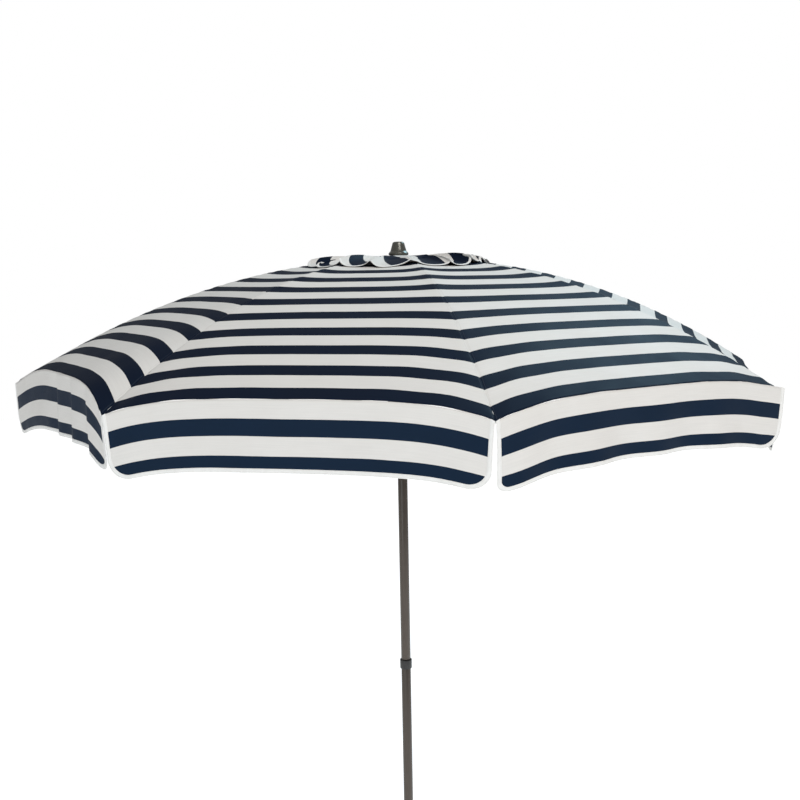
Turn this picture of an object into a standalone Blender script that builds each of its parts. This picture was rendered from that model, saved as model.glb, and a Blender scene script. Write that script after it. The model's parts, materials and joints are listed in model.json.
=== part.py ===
"""Push-up patio umbrella on a round cast base. Metres, +Z up, floor at z = 0, pole on the Z axis."""

import math

import bmesh
import bpy
from mathutils import Matrix, Vector

GAP = 0.0003  # between neighbours that touch
SLIDE_GAP = 0.0005  # between pieces that move on each other
CUT_PAST = 0.010  # how far a cutter runs past what it cuts
EDGE = 0.002  # chamfers on moulded and cast pieces
SIDES = 32
SMALL_SIDES = 16  # sides of pins, rivets and their holes

# Canopy
RIB_COUNT = 8
CANOPY_RADIUS = 1.200  # axis to the seam's outer end
CANOPY_DROP = 0.366  # apex to the seam's outer end
CANOPY_CURVE = 2.1  # power of the drop along a rib: 2 is a parabola, higher is flatter at the top
APEX_HEIGHT = 2.292  # the cloth surface, carried on to the axis, above the floor
VENT_APOTHEM = 0.170  # half width of the vent hole, at mid panel
EDGE_LIFT = 0.040  # rise of the panel's outer edge at mid panel
EDGE_SHAPE = 3.5  # power of the lift across a panel: higher is flatter in the middle
MID_SAG = 0.010  # dip of the cloth between two ribs, half way down
CLOTH = 0.002
SEAM_GAP = 0.0005
VALANCE_HEIGHT = 0.168
SLIT_HALF_GAP = 0.006
CAP_RADIUS = 0.292
CAP_RISE = 0.004  # underside of the vent cap above the canopy's own surface

# Pole
POLE_RADIUS = 0.016
POLE_WALL = 0.0015
TUBE_BORE = POLE_RADIUS - POLE_WALL
PLUG_RADIUS = TUBE_BORE - GAP
PLUG_DEPTH = 0.035

# Ribs and struts
RIB_WIRE = 0.004  # radius
RIB_UNDER_CLOTH = 0.0018  # clear space between a rib and the cloth over it
RIB_BELOW_CLOTH = RIB_WIRE + CLOTH / 2 + RIB_UNDER_CLOTH  # rib centre under the cloth surface
RIB_TIP_SETBACK = 0.014
RIB_TIP_RADIUS = CANOPY_RADIUS - RIB_TIP_SETBACK
EYE_END = RIB_WIRE + 0.0005  # rib or strut end past its hinge
RING_WIRE = 0.0012
STRUT_LENGTH = CANOPY_RADIUS * 0.55
STRUT_SIDE = 0.009
FORK_CHEEK = 0.0025  # each side of the strut's fork, with its share of the play
LUG_RADIUS_ON_RIB = CANOPY_RADIUS * 0.4875  # distance of the strut's rivet from the axis
LUG_CLEARANCE = 0.0015  # strut's top side under the rib, when they lie side by side
LUG_DEPTH = RIB_WIRE + STRUT_SIDE / 2 + LUG_CLEARANCE  # rivet under the rib's centre
LUG_SUNK = 0.0005  # how far the lug's disc reaches into the rib
LUG_DISC = LUG_DEPTH - RIB_WIRE + LUG_SUNK
LUG_THICKNESS = STRUT_SIDE - 2 * FORK_CHEEK
RIVET = LUG_THICKNESS / 2
FORK_DEPTH = LUG_DISC + 0.002
FORK_END = 0.0035

# Crown and runner
RUNNER_BORE = POLE_RADIUS + 0.0025  # loose on the mast, for a runner that slides by hand
CORE_WALL = 0.0037
HUB_CORE = RUNNER_BORE + CORE_WALL  # floor of the slots, on the crown and on the runner
EYE_CLEARANCE = 0.0014  # a strut's end corner from the slot's floor as it turns
HINGE_RADIUS = HUB_CORE + math.hypot(EYE_END, STRUT_SIDE / 2) + EYE_CLEARANCE
HUB_RADIUS = HINGE_RADIUS + 0.012
HUB_TEETH_TOP = 0.0035  # below the apex
HUB_HEIGHT = 0.028
CROWN_ROOF = 0.008  # thickness over the mast tube's end
RUNNER_RADIUS = HINGE_RADIUS + 0.014
RUNNER_HEIGHT = 0.026
SLEEVE_RADIUS = RUNNER_BORE + CORE_WALL
SLEEVE_FLARE = 0.0015
SLEEVE_LENGTH = 0.070
STUD_RADIUS = 0.005
CAP_HOLE = STUD_RADIUS + 0.0016
WASHER_RADIUS = 0.027
WASHER_THICKNESS = 0.002
FINIAL_FLANGE = WASHER_RADIUS + 0.005
FINIAL_SKIRT = FINIAL_FLANGE - 0.0065
FINIAL_TOP = FINIAL_SKIRT - 0.0065
FINIAL_HEIGHT = 0.043
FINIAL_BRIM = 0.011  # height of the brim and its shoulder
BUTTON_RADIUS = 0.004
BUTTON_PROUD = 0.0014
BUTTON_EDGE = 0.0005
RUNNER_BUTTON_PROUD = 0.0026
RUNNER_BUTTON_TRAVEL = 0.0012
RUNNER_BUTTON_BELOW = 0.045  # under the runner's middle

# Tilt joint and pole joint, as depths below the apex
TILT_DEPTH = 0.600
TILT_CHEEK = POLE_RADIUS - 0.0015  # radius of the rounded ends around the pin
TILT_CLEARANCE = 0.001  # between the fork's round end and the tongue's boss
TILT_BOSS = 0.0023  # round part of the tongue that shows under the mast tube
TILT_SHOULDER = TILT_CHEEK + TILT_CLEARANCE + TILT_BOSS  # from the pin's axis to the mast tube's end
TONGUE_HALF = POLE_RADIUS * 0.375
PIN_RADIUS = 0.003
PIN_SUNK = 0.0008
TILT_BUTTON_BELOW_PIN = 0.040
FORK_LENGTH = 0.070  # round part under the pin's slot
SPRING_TURNS = 4
SPRING_WIRE = 0.0004
SPRING_COIL = 0.0030
SPRING_LENGTH = 0.0055
POLE_JOINT_DEPTH = 1.350
POLE_SHOULDER = 0.001  # height of the step down to the spigot
POLE_SWAGE = 0.010  # height of the narrowing inside it
SPIGOT_LENGTH = 0.120
PLUG_FLANGE = 0.004
COLLAR_WALL = 0.0035
COLLAR_RADIUS = POLE_RADIUS + SLIDE_GAP + COLLAR_WALL
COLLAR_HEIGHT = 0.032
COLLAR_OVER_JOINT = 0.006
COLLAR_EDGE = 0.0015

# Base
LINER_WALL = 0.0037
SOCKET_WALL = 0.0025
SOCKET_RADIUS = POLE_RADIUS + SLIDE_GAP + LINER_WALL + GAP + SOCKET_WALL
SOCKET_TOP = 0.360
SOCKET_FLANGE = SOCKET_RADIUS + 0.032
FLANGE_THICKNESS = 0.004
WELD = 0.003
BASE_RADIUS = 0.240
BASE_EDGE_HEIGHT = 0.014
BASE_SHOULDER = 0.004  # the rim's step above that edge
BASE_RIM = 0.006
BASE_HEIGHT = 0.046
BASE_LAND = SOCKET_FLANGE + 0.010  # flat top that the socket's flange sits on
BASE_STEPS = 8
BASE_SIDES = 48
SOCKET_FLOOR = BASE_HEIGHT - 0.016
FOOT_HEIGHT = 0.006
FOOT_RADIUS = 0.017
FOOT_PLACE = BASE_RADIUS - 0.050
FOOT_COUNT = 4
FOOT_EDGE = 0.001
FLOOR_OF_BASE = FOOT_HEIGHT + GAP
NUT_RADIUS = SOCKET_RADIUS + 0.011
NUT_HEIGHT = 0.010
NUT_ROOM = 0.004  # round the nut, in the base's recess
NUT_SUNK = 0.005  # nut's underside above the base's
LINER_LENGTH = 0.130
LINER_LIP = 0.004
LINER_FLANGE = SOCKET_RADIUS + 0.0032
KNOB_BELOW_TOP = 0.065
KNOB_RADIUS = 0.024
KNOB_LOBE = 0.0025
KNOB_LOBES = 6
KNOB_THICKNESS = 0.018
SCREW_RADIUS = 0.004
BOSS_RADIUS = SCREW_RADIUS + 0.005
BOSS_LENGTH = 0.012

STEP_ANGLE = 2 * math.pi / RIB_COUNT
HALF_ANGLE = STEP_ANGLE / 2
EDGE_APOTHEM = CANOPY_RADIUS * math.cos(HALF_ANGLE)


def clear_scene():
    for obj in list(bpy.data.objects):
        bpy.data.objects.remove(obj)


def new_collection(name):
    collection = bpy.data.collections.new(name)
    bpy.context.scene.collection.children.link(collection)
    return collection


def new_material(name, colour, roughness, metallic):
    material = bpy.data.materials.new(name)
    material.use_nodes = True
    shader = material.node_tree.nodes["Principled BSDF"]
    shader.inputs["Base Color"].default_value = (*colour, 1)
    shader.inputs["Roughness"].default_value = roughness
    shader.inputs["Metallic"].default_value = metallic
    return material


def add_object(name, data, finish):
    obj = bpy.data.objects.new(name, data)
    parts.objects.link(obj)
    if finish is not None:
        data.materials.clear()
        data.materials.append(materials[finish])
    return obj


def mesh_object(name, bm, finish, smooth_angle=30):
    mesh = bpy.data.meshes.new(name)
    bm.to_mesh(mesh)
    bm.free()
    mesh.shade_smooth()
    mesh.set_sharp_from_angle(angle=math.radians(smooth_angle))
    return add_object(name, mesh, finish)


def as_cutter(obj):
    parts.objects.unlink(obj)
    cutters.objects.link(obj)
    obj.hide_render = True
    obj.display_type = "WIRE"
    return obj


def boolean(obj, other, operation="DIFFERENCE"):
    modifier = obj.modifiers.new(other.name, "BOOLEAN")
    modifier.operation = operation
    modifier.solver = "EXACT"
    modifier.object = other


def bevel(obj, width, segments=1, angle=40):
    modifier = obj.modifiers.new("soft edges", "BEVEL")
    modifier.width = width
    modifier.segments = segments
    modifier.limit_method = "ANGLE"
    modifier.angle_limit = math.radians(angle)


def turned(name, outline, finish, loop=False, sides=SIDES):
    """A turned piece. The outline (radius, height) runs down its outer side; a loop closes on itself."""
    bm = bmesh.new()
    verts = [bm.verts.new((radius, 0, height)) for radius, height in outline]
    for first, second in zip(verts, verts[1:]):
        bm.edges.new((first, second))
    if loop:
        bm.edges.new((verts[-1], verts[0]))
    obj = mesh_object(name, bm, finish)
    screw = obj.modifiers.new("turn", "SCREW")
    screw.steps = sides
    screw.render_steps = sides
    screw.use_merge_vertices = True
    screw.merge_threshold = 0.0001
    screw.use_smooth_shade = False
    return obj


def ring(name, inner, outer, bottom, top, finish, sides=SIDES):
    outline = [(outer, top), (outer, bottom), (inner, bottom), (inner, top)]
    return turned(name, outline, finish, loop=True, sides=sides)


def cylinder(name, radius, start, end, finish, sides=20):
    """A solid cylinder between two points."""
    start = Vector(start)
    axis = Vector(end) - start
    bm = bmesh.new()
    turn = axis.to_track_quat("Z", "Y").to_matrix().to_4x4()
    place = Matrix.Translation(start + axis / 2) @ turn
    bmesh.ops.create_cone(
        bm, cap_ends=True, segments=sides, radius1=radius, radius2=radius, depth=axis.length, matrix=place
    )
    return mesh_object(name, bm, finish)


def boxes(name, corners, finish):
    """Separate boxes in one mesh, each from its two corners and a turn about Z."""
    bm = bmesh.new()
    for low, high, turn in corners:
        low = Vector(low)
        high = Vector(high)
        size = Matrix.Diagonal((*(high - low), 1))
        place = Matrix.Rotation(turn, 4, "Z") @ Matrix.Translation((low + high) / 2) @ size
        bmesh.ops.create_cube(bm, size=1, matrix=place)
    return mesh_object(name, bm, finish)


def wire(name, points, radius, finish, closed=False):
    curve = bpy.data.curves.new(name, "CURVE")
    curve.dimensions = "3D"
    spline = curve.splines.new("POLY")
    spline.points.add(len(points) - 1)
    for point, place in zip(spline.points, points):
        point.co = (*place, 1)
    spline.use_cyclic_u = closed
    curve.bevel_depth = radius
    curve.bevel_resolution = 2
    curve.use_fill_caps = not closed
    return add_object(name, curve, finish)


def baked(obj, finish):
    """The object with its modifiers applied and, on a wire, its caps joined."""
    bpy.context.view_layer.update()
    graph = bpy.context.evaluated_depsgraph_get()
    mesh = bpy.data.meshes.new_from_object(obj.evaluated_get(graph))
    bm = bmesh.new()
    bm.from_mesh(mesh)
    bmesh.ops.remove_doubles(bm, verts=bm.verts, dist=1e-6)
    bm.to_mesh(mesh)
    bm.free()
    name = obj.name
    place = obj.matrix_world.copy()
    bpy.data.objects.remove(obj)
    made = add_object(name, mesh, finish)
    made.matrix_world = place
    return made


def ring_of_copies(first, names, place):
    """Copies of one object round the pole, each with its own turn."""
    for index, name in enumerate(names):
        copy = first if index == 0 else add_object(name, first.data, None)
        copy.name = name
        copy.location, copy.rotation_euler = place(index)


def numbered(name):
    return [f"{name}_{index + 1}" for index in range(RIB_COUNT)]


def cloth_height(radius):
    """Height of the canopy's surface along a rib."""
    return APEX_HEIGHT - CANOPY_DROP * (radius / CANOPY_RADIUS) ** CANOPY_CURVE


def rib_height(radius):
    return cloth_height(radius) - RIB_BELOW_CLOTH


def panel_height(apothem, across):
    """Height of a panel at a distance from the axis and a share -1..1 of its half width."""
    share = apothem / EDGE_APOTHEM
    lift = EDGE_LIFT * share**3 - MID_SAG * 4 * share * (1 - share)
    return cloth_height(apothem / math.cos(HALF_ANGLE)) + lift * (1 - abs(across) ** EDGE_SHAPE)


HINGE_HEIGHT = rib_height(HINGE_RADIUS)
LUG_HEIGHT = rib_height(LUG_RADIUS_ON_RIB) - LUG_DEPTH
STRUT_ANGLE = math.asin((LUG_RADIUS_ON_RIB - HINGE_RADIUS) / STRUT_LENGTH)  # from vertical
RUNNER_HINGE_HEIGHT = LUG_HEIGHT - STRUT_LENGTH * math.cos(STRUT_ANGLE)
TILT_HEIGHT = APEX_HEIGHT - TILT_DEPTH
POLE_JOINT_HEIGHT = APEX_HEIGHT - POLE_JOINT_DEPTH
CROWN_TOP = APEX_HEIGHT - HUB_TEETH_TOP
MAST_END = CROWN_TOP - CROWN_ROOF


def around(radius, height, turn):
    return (radius * math.cos(turn), radius * math.sin(turn), height)


def make_ribs():
    points = []
    first = HINGE_RADIUS - EYE_END
    segments = 10
    for index in range(segments + 1):
        radius = first + (RIB_TIP_RADIUS - first) * index / segments
        points.append((radius - HINGE_RADIUS, 0, rib_height(radius) - HINGE_HEIGHT))
    rib = baked(wire("rib", points, RIB_WIRE, "rib_steel"), "rib_steel")
    half = LUG_THICKNESS / 2
    lug_x = LUG_RADIUS_ON_RIB - HINGE_RADIUS
    lug_z = LUG_HEIGHT - HINGE_HEIGHT
    lug = as_cutter(cylinder("lug", LUG_DISC, (lug_x, -half, lug_z), (lug_x, half, lug_z), None))
    boolean(rib, lug, "UNION")
    reach = RIB_WIRE * 2
    hole_radius = RIVET + GAP
    hole = cylinder("rivet_hole", hole_radius, (lug_x, -reach, lug_z), (lug_x, reach, lug_z), None)
    boolean(rib, as_cutter(hole))
    eye = cylinder("rib_eye", RING_WIRE + SLIDE_GAP, (0, -reach, 0), (0, reach, 0), None, SMALL_SIDES)
    boolean(rib, as_cutter(eye))
    rib = baked(rib, "rib_steel")
    ring_of_copies(
        rib,
        numbered("rib"),
        lambda k: (around(HINGE_RADIUS, HINGE_HEIGHT, k * STEP_ANGLE), (0, 0, k * STEP_ANGLE)),
    )


def make_struts():
    half = STRUT_SIDE / 2
    bar = [((-FORK_END, -half, -half), (STRUT_LENGTH + EYE_END, half, half), 0)]
    strut = boxes("strut", bar, "rib_steel")
    bevel(strut, 0.0008)
    slot_half = LUG_THICKNESS / 2 + GAP
    slot = [((-STRUT_SIDE, -slot_half, -STRUT_SIDE), (FORK_DEPTH, slot_half, STRUT_SIDE), 0)]
    boolean(strut, as_cutter(boxes("fork_slot", slot, None)))
    rivet = cylinder("rivet", RIVET, (0, -half + GAP, 0), (0, half - GAP, 0), None, SMALL_SIDES)
    boolean(strut, as_cutter(rivet), "UNION")
    strut = baked(strut, "rib_steel")
    lean = math.pi / 2 + STRUT_ANGLE
    ring_of_copies(
        strut,
        numbered("strut"),
        lambda k: (around(LUG_RADIUS_ON_RIB, LUG_HEIGHT, k * STEP_ANGLE), (0, lean, k * STEP_ANGLE)),
    )


def make_sheet(name, shape, rows, columns):
    """A sheet of cloth from shape(down, across), with down 0..1 and across -1..1."""
    bm = bmesh.new()
    bmesh.ops.create_grid(bm, x_segments=rows, y_segments=columns, size=1)
    for vert in bm.verts:
        vert.co = shape((vert.co.x + 1) / 2, vert.co.y)
    sheet = mesh_object(name, bm, "canopy_cloth")
    wall = sheet.modifiers.new("cloth", "SOLIDIFY")
    wall.thickness = CLOTH
    wall.offset = 0
    return baked(sheet, "canopy_cloth")


def make_panels():
    def shape(down, across):
        apothem = VENT_APOTHEM + (EDGE_APOTHEM - VENT_APOTHEM) * down
        half_width = apothem * math.tan(HALF_ANGLE) - SEAM_GAP
        height = panel_height(apothem, across)
        return (apothem - HINGE_RADIUS, across * half_width, height - HINGE_HEIGHT)

    def place(k):
        turn = k * STEP_ANGLE + HALF_ANGLE
        return around(HINGE_RADIUS, HINGE_HEIGHT, turn), (0, 0, turn)

    ring_of_copies(make_sheet("panel", shape, 8, 8), numbered("canopy_panel"), place)


def make_valances():
    apothem = EDGE_APOTHEM - CLOTH
    top = panel_height(EDGE_APOTHEM, 0) - CLOTH - GAP
    half_width = EDGE_APOTHEM * math.tan(HALF_ANGLE) - SLIT_HALF_GAP

    def shape(down, across):
        height = panel_height(EDGE_APOTHEM, across) - CLOTH - GAP - VALANCE_HEIGHT * down
        return (0, across * half_width, height - top)

    def place(k):
        turn = k * STEP_ANGLE + HALF_ANGLE
        return around(apothem, top, turn), (0, 0, turn)

    ring_of_copies(make_sheet("valance", shape, 2, 8), numbered("valance"), place)


def make_vent_cap():
    steps = 4
    under = [(CAP_HOLE, APEX_HEIGHT + CAP_RISE)]
    for index in range(steps + 1):
        radius = WASHER_RADIUS + (CAP_RADIUS - WASHER_RADIUS) * (index / steps) ** 0.8
        height = APEX_HEIGHT if index == 0 else cloth_height(radius)
        under.append((radius, height + CAP_RISE))
    top = [(radius, height + CLOTH) for radius, height in under]
    turned("vent_cap", top + under[::-1], "canopy_cloth", loop=True)


def make_crown():
    bottom = CROWN_TOP - HUB_HEIGHT
    core_top = APEX_HEIGHT + CAP_RISE - GAP
    bore = POLE_RADIUS + GAP
    stud_hole = STUD_RADIUS + GAP
    outline = [
        (stud_hole, core_top),
        (HUB_CORE - EDGE, core_top),
        (HUB_CORE - EDGE, CROWN_TOP),
        (HUB_RADIUS - EDGE, CROWN_TOP),
        (HUB_RADIUS, CROWN_TOP - EDGE),
        (HUB_RADIUS, bottom + EDGE),
        (HUB_RADIUS - EDGE, bottom),
        (bore, bottom),
        (bore, MAST_END),
        (stud_hole, MAST_END),
    ]
    hub = turned("crown_hub", outline, "hub_plastic", loop=True)
    slot_half = RIB_WIRE + SLIDE_GAP
    slots = []
    for k in range(RIB_COUNT):
        low = (HUB_CORE, -slot_half, bottom - CUT_PAST)
        slots.append((low, (HUB_RADIUS + CUT_PAST, slot_half, CROWN_TOP + CUT_PAST), k * STEP_ANGLE))
    boolean(hub, as_cutter(boxes("rib_slots", slots, None)))
    wide = RING_WIRE + SLIDE_GAP
    floor = HINGE_HEIGHT - wide
    groove_top = CROWN_TOP + CUT_PAST
    groove = ring("ring_groove", HINGE_RADIUS - wide, HINGE_RADIUS + wide, floor, groove_top, None)
    boolean(hub, as_cutter(groove))

    circle = []
    for index in range(SIDES):
        circle.append(around(HINGE_RADIUS, HINGE_HEIGHT, 2 * math.pi * index / SIDES))
    wire("crown_ring", circle, RING_WIRE, "zinc_steel", closed=True)

    washer_bottom = APEX_HEIGHT + CAP_RISE + CLOTH + GAP
    washer_top = washer_bottom + WASHER_THICKNESS
    ring("crown_washer", stud_hole, WASHER_RADIUS, washer_bottom, washer_top, "zinc_steel")
    make_finial(washer_top + GAP, MAST_END + GAP)


def make_finial(seat, stud_end):
    """A bell with a brim, and the stud that holds it in the crown."""
    top = seat + FINIAL_HEIGHT
    skirt = seat + FINIAL_BRIM
    waist = (FINIAL_TOP + FINIAL_SKIRT) / 2 - 0.0012
    outline = [
        (0, top),
        (FINIAL_TOP * 0.55, top - 0.0005),
        (FINIAL_TOP - 0.004, top - 0.0022),
        (FINIAL_TOP, top - 0.0065),
        (waist, (top + skirt) / 2),
        (FINIAL_SKIRT, skirt),
        (FINIAL_SKIRT + 0.0015, skirt - 0.003),
        (FINIAL_FLANGE - 0.0015, skirt - 0.005),
        (FINIAL_FLANGE, skirt - 0.0068),
        (FINIAL_FLANGE, seat + 0.001),
        (FINIAL_FLANGE - 0.001, seat),
        (STUD_RADIUS, seat),
        (STUD_RADIUS, stud_end),
        (0, stud_end),
    ]
    turned("finial", outline, "dark_plastic")


def make_mast():
    bottom = TILT_HEIGHT + TILT_SHOULDER
    ring("mast_tube", TUBE_BORE, POLE_RADIUS, bottom, MAST_END - GAP, "bronze_pole")


def cut_pin_hole(obj):
    reach = POLE_RADIUS * 2
    radius = PIN_RADIUS + GAP
    name = f"{obj.name}_pin_hole"
    hole = cylinder(name, radius, (0, -reach, TILT_HEIGHT), (0, reach, TILT_HEIGHT), None, SMALL_SIDES)
    boolean(obj, as_cutter(hole))


def make_tilt_tongue():
    shoulder = TILT_HEIGHT + TILT_SHOULDER
    plug_end = (0, 0, shoulder + PLUG_DEPTH)
    tongue = cylinder("tilt_tongue", PLUG_RADIUS, (0, 0, shoulder - TILT_BOSS), plug_end, "bronze_pole")
    half = TONGUE_HALF
    low = (-TILT_CHEEK, -half, TILT_HEIGHT)
    slab = boxes("tongue_slab", [(low, (TILT_CHEEK, half, shoulder - GAP), 0)], None)
    boolean(tongue, as_cutter(slab), "UNION")
    pivot = ((0, -half, TILT_HEIGHT), (0, half, TILT_HEIGHT))
    boolean(tongue, as_cutter(cylinder("tongue_end", TILT_CHEEK, *pivot, None)), "UNION")
    cut_pin_hole(tongue)


def make_tilt_fork():
    body_end = TILT_HEIGHT - TILT_SHOULDER - FORK_LENGTH
    outline = [
        (0, TILT_HEIGHT + TILT_CHEEK + EDGE),
        (POLE_RADIUS, TILT_HEIGHT + TILT_CHEEK + EDGE),
        (POLE_RADIUS, body_end),
        (PLUG_RADIUS, body_end),
        (PLUG_RADIUS, body_end - PLUG_DEPTH),
        (0, body_end - PLUG_DEPTH),
    ]
    fork = turned("tilt_fork", outline, "bronze_pole")
    wide = POLE_RADIUS + CUT_PAST
    pivot = ((0, -wide, TILT_HEIGHT), (0, wide, TILT_HEIGHT))
    envelope = cylinder("fork_envelope", TILT_CHEEK, *pivot, None, sides=SIDES)
    low = (-wide, -wide, body_end - PLUG_DEPTH - CUT_PAST)
    stem = boxes("fork_stem", [(low, (wide, wide, TILT_HEIGHT), 0)], None)
    boolean(envelope, as_cutter(stem), "UNION")
    boolean(fork, as_cutter(envelope), "INTERSECT")
    half = TONGUE_HALF + SLIDE_GAP
    floor = TILT_HEIGHT - TILT_CHEEK - SLIDE_GAP
    slot = [((-wide, -half, floor), (wide, half, TILT_HEIGHT + wide), 0)]
    boolean(fork, as_cutter(boxes("fork_gap", slot, None)))
    cut_pin_hole(fork)
    height = TILT_HEIGHT - TILT_BUTTON_BELOW_PIN
    end = -SPRING_LENGTH - GAP
    well = cylinder("button_well", BUTTON_RADIUS + GAP, (end, 0, height), (wide, 0, height), None)
    boolean(fork, as_cutter(well))

    pin_half = POLE_RADIUS - PIN_SUNK
    pin = ((0, -pin_half, TILT_HEIGHT), (0, pin_half, TILT_HEIGHT))
    cylinder("tilt_pin", PIN_RADIUS, *pin, "zinc_steel", SMALL_SIDES)
    face = POLE_RADIUS + BUTTON_PROUD
    button = cylinder("tilt_button", BUTTON_RADIUS, (GAP, 0, height), (face, 0, height), "dark_plastic")
    bevel(button, BUTTON_EDGE)
    coil = []
    steps = SPRING_TURNS * 8
    start = -SPRING_LENGTH + SPRING_WIRE
    for index in range(steps + 1):
        turn = 2 * math.pi * SPRING_TURNS * index / steps
        along = start + (SPRING_LENGTH - 2 * SPRING_WIRE) * index / steps
        coil.append((along, SPRING_COIL * math.cos(turn), height + SPRING_COIL * math.sin(turn)))
    baked(wire("tilt_spring", coil, SPRING_WIRE, "zinc_steel"), "zinc_steel")


def make_poles():
    top = TILT_HEIGHT - TILT_SHOULDER - FORK_LENGTH - GAP
    spigot_end = POLE_JOINT_HEIGHT - SPIGOT_LENGTH
    outline = [
        (POLE_RADIUS, top),
        (POLE_RADIUS, POLE_JOINT_HEIGHT),
        (PLUG_RADIUS, POLE_JOINT_HEIGHT - POLE_SHOULDER),
        (PLUG_RADIUS, spigot_end),
        (PLUG_RADIUS - POLE_WALL, spigot_end),
        (PLUG_RADIUS - POLE_WALL, POLE_JOINT_HEIGHT),
        (TUBE_BORE, POLE_JOINT_HEIGHT + POLE_SWAGE),
        (TUBE_BORE, top),
    ]
    turned("upper_pole", outline, "bronze_pole", loop=True)
    bottom = SOCKET_FLOOR + GAP
    tube_bottom = bottom + PLUG_FLANGE + GAP
    tube_top = POLE_JOINT_HEIGHT - POLE_SHOULDER - SLIDE_GAP
    ring("lower_pole", TUBE_BORE, POLE_RADIUS, tube_bottom, tube_top, "bronze_pole")
    plug = [(0, tube_bottom + PLUG_DEPTH), (PLUG_RADIUS, tube_bottom + PLUG_DEPTH)]
    plug += [(PLUG_RADIUS, tube_bottom - GAP), (POLE_RADIUS, tube_bottom - GAP)]
    plug += [(POLE_RADIUS, bottom), (0, bottom)]
    turned("pole_plug", plug, "dark_plastic")
    collar_top = POLE_JOINT_HEIGHT + COLLAR_OVER_JOINT
    collar_bottom = collar_top - COLLAR_HEIGHT
    bore = POLE_RADIUS + SLIDE_GAP
    collar = [
        (COLLAR_RADIUS - COLLAR_EDGE, collar_top),
        (COLLAR_RADIUS, collar_top - COLLAR_EDGE),
        (COLLAR_RADIUS, collar_bottom + COLLAR_EDGE),
        (COLLAR_RADIUS - COLLAR_EDGE, collar_bottom),
        (bore, collar_bottom),
        (bore, collar_top),
    ]
    turned("pole_collar", collar, "dark_plastic", loop=True)


def make_runner():
    top = RUNNER_HINGE_HEIGHT + RUNNER_HEIGHT / 2
    bottom = top - RUNNER_HEIGHT
    outline = [
        (RUNNER_RADIUS - EDGE, top),
        (RUNNER_RADIUS, top - EDGE),
        (RUNNER_RADIUS, bottom + EDGE),
        (RUNNER_RADIUS - EDGE, bottom),
        (RUNNER_BORE, bottom),
        (RUNNER_BORE, top),
    ]
    hub = turned("runner_hub", outline, "hub_plastic", loop=True)
    half = STRUT_SIDE / 2 + SLIDE_GAP
    slots = []
    for k in range(RIB_COUNT):
        low = (HUB_CORE, -half, bottom - CUT_PAST)
        slots.append((low, (RUNNER_RADIUS + CUT_PAST, half, top + CUT_PAST), k * STEP_ANGLE))
    boolean(hub, as_cutter(boxes("strut_slots", slots, None)))

    sleeve_top = bottom - GAP
    sleeve_bottom = sleeve_top - SLEEVE_LENGTH
    sleeve = [
        (SLEEVE_RADIUS - SLEEVE_FLARE, sleeve_top),
        (SLEEVE_RADIUS - SLEEVE_FLARE, sleeve_bottom + 3 * EDGE),
        (SLEEVE_RADIUS, sleeve_bottom + 2 * EDGE),
        (SLEEVE_RADIUS, sleeve_bottom + EDGE / 2),
        (SLEEVE_RADIUS - EDGE / 2, sleeve_bottom),
        (RUNNER_BORE, sleeve_bottom),
        (RUNNER_BORE, sleeve_top),
    ]
    grip = turned("runner_sleeve", sleeve, "dark_plastic", loop=True)
    height = RUNNER_HINGE_HEIGHT - RUNNER_BUTTON_BELOW
    hole_ends = (around(POLE_RADIUS, height, HALF_ANGLE), around(RUNNER_RADIUS, height, HALF_ANGLE))
    hole = cylinder("runner_button_hole", BUTTON_RADIUS + GAP, *hole_ends, None)
    boolean(grip, as_cutter(hole))
    inner = POLE_RADIUS + SLIDE_GAP + RUNNER_BUTTON_TRAVEL
    outer = SLEEVE_RADIUS - SLEEVE_FLARE + RUNNER_BUTTON_PROUD
    ends = (around(inner, height, HALF_ANGLE), around(outer, height, HALF_ANGLE))
    bevel(cylinder("runner_button", BUTTON_RADIUS, *ends, "zinc_steel"), BUTTON_EDGE)


def make_base():
    hole = SOCKET_RADIUS + GAP
    recess = NUT_RADIUS + NUT_ROOM
    recess_top = FLOOR_OF_BASE + NUT_HEIGHT + NUT_SUNK
    outline = [(hole, BASE_HEIGHT)]
    rim = BASE_RADIUS - BASE_RIM
    shoulder = BASE_EDGE_HEIGHT + BASE_SHOULDER
    for index in range(BASE_STEPS + 1):
        share = index / BASE_STEPS
        fall = (1 - math.cos(math.pi * share)) / 2
        radius = BASE_LAND + (rim - BASE_LAND) * share
        outline.append((radius, BASE_HEIGHT + (shoulder - BASE_HEIGHT) * fall))
    outline += [
        (BASE_RADIUS - EDGE / 2, BASE_EDGE_HEIGHT + EDGE / 2),
        (BASE_RADIUS, BASE_EDGE_HEIGHT - EDGE / 2),
        (BASE_RADIUS, FLOOR_OF_BASE + EDGE),
        (BASE_RADIUS - EDGE, FLOOR_OF_BASE),
        (recess, FLOOR_OF_BASE),
        (recess, recess_top),
        (hole, recess_top),
    ]
    turned("base_weight", outline, "base_iron", loop=True, sides=BASE_SIDES)
    for index in range(FOOT_COUNT):
        turn = 2 * math.pi * (index + 0.5) / FOOT_COUNT
        ends = (around(FOOT_PLACE, 0, turn), around(FOOT_PLACE, FOOT_HEIGHT, turn))
        foot = cylinder(f"base_foot_{index + 1}", FOOT_RADIUS, *ends, "rubber")
        bevel(foot, FOOT_EDGE)
    nut_top = recess_top - GAP
    ends = ((0, 0, nut_top - NUT_HEIGHT), (0, 0, nut_top))
    nut = cylinder("base_nut", NUT_RADIUS, *ends, "zinc_steel", sides=6)
    nut_bore = cylinder("nut_bore", hole, (0, 0, 0), (0, 0, BASE_HEIGHT), None, sides=SIDES)
    boolean(nut, as_cutter(nut_bore))


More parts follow.
